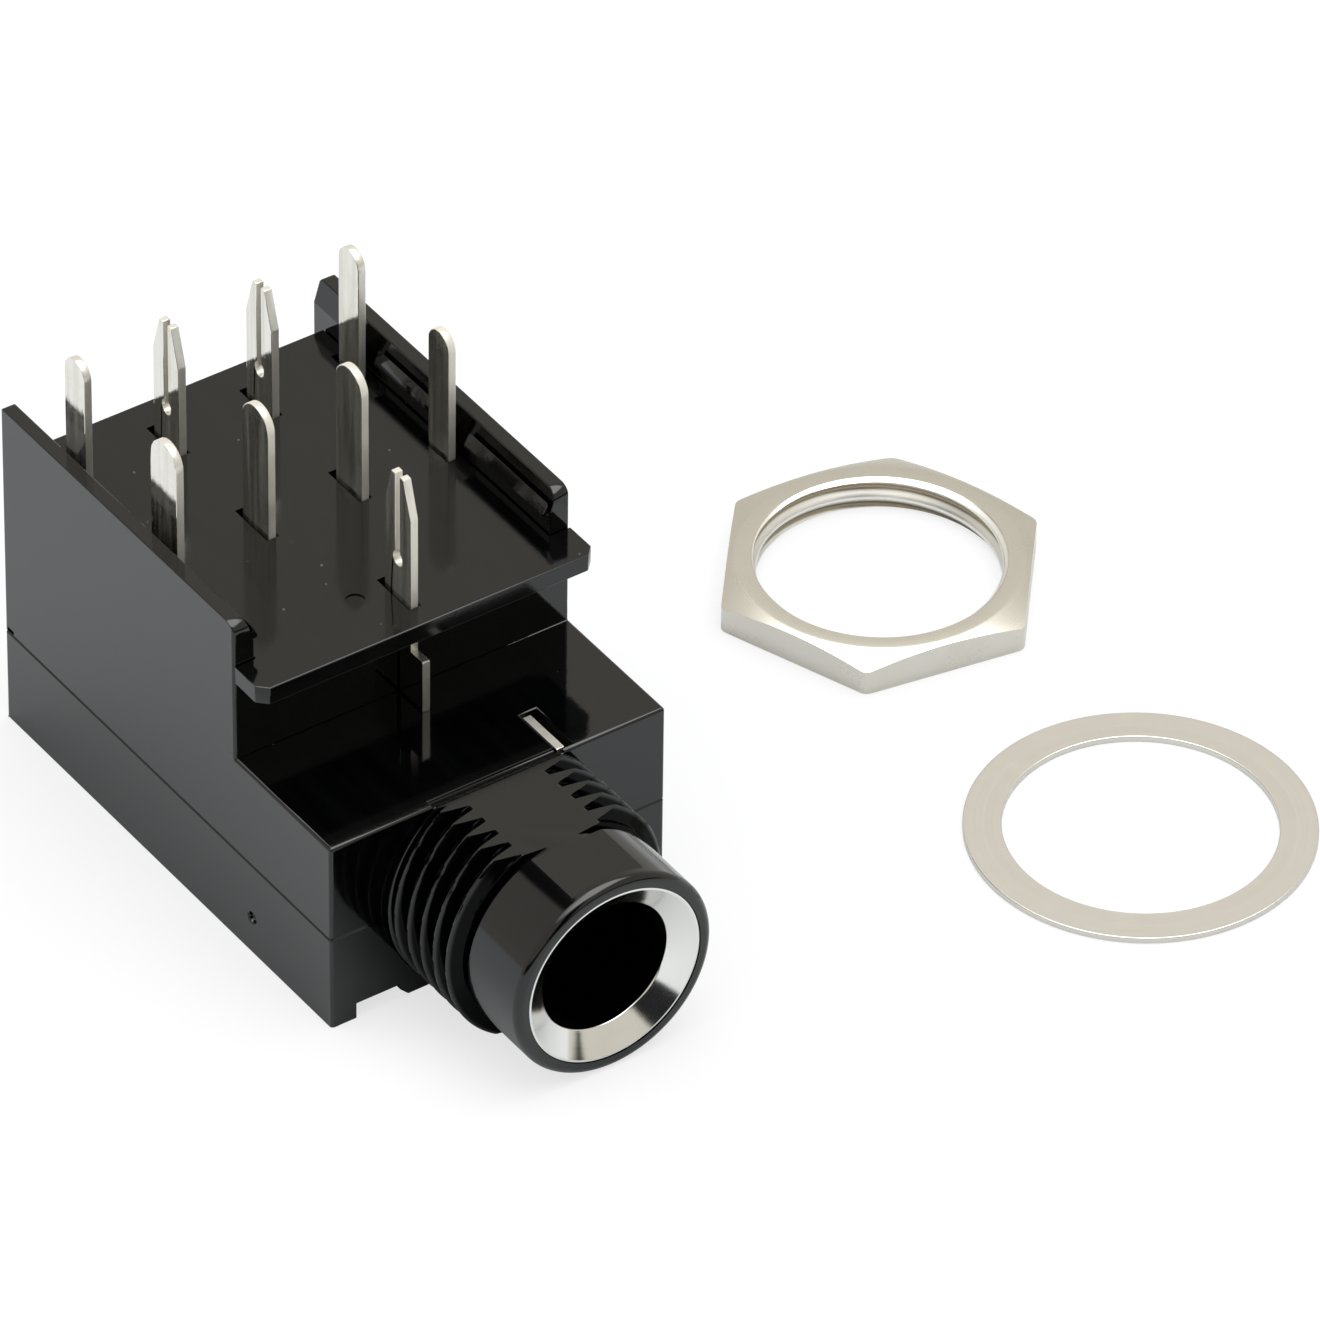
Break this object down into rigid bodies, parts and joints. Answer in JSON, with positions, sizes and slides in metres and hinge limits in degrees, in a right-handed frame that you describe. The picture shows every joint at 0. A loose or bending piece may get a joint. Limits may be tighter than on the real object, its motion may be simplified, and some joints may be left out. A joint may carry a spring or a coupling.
{
  "type": "phone jack",
  "caption": "Board-mounted quarter inch stereo jack socket with threaded barrel, flared metal ferrule, blade pins and switch contacts, with its loose hex nut and flat washer.",
  "frame": {"origin": "on the plug axis, in the plane of the nose's front face, which seats behind the panel", "axes": "+X across the body towards the loose nut and washer, +Y along the plug axis towards the rear (a plug leaves along -Y), +Z towards the solder pins and the circuit board"},
  "size_m": [0.0456, 0.0428, 0.022],
  "materials": {
    "black_moulding": "smooth glossy black moulding",
    "bright_nickel": "bright nickel plate on a turned ring",
    "tinned_strip": "bright tinned sheet strip",
    "pale_moulding": "pale insulating moulding",
    "warm_nickel": "nickel plate with a faint warm tone"
  },
  "bodies": {
    "root": {"housing": "black_moulding", "base_cover": "black_moulding", "pin_plate": "black_moulding", "ferrule": "bright_nickel", "sleeve_contact": "tinned_strip", "tip_spring": "tinned_strip", "ring_spring": "tinned_strip", "tip_switch_common": "tinned_strip", "tip_switch_closed": "tinned_strip", "tip_switch_open": "tinned_strip", "ring_switch_common": "tinned_strip", "ring_switch_closed": "tinned_strip", "ring_switch_open": "tinned_strip", "tip_pusher": "pale_moulding", "ring_pusher": "pale_moulding", "hex_nut": "warm_nickel", "washer": "warm_nickel"}
  },
  "joints": []
}
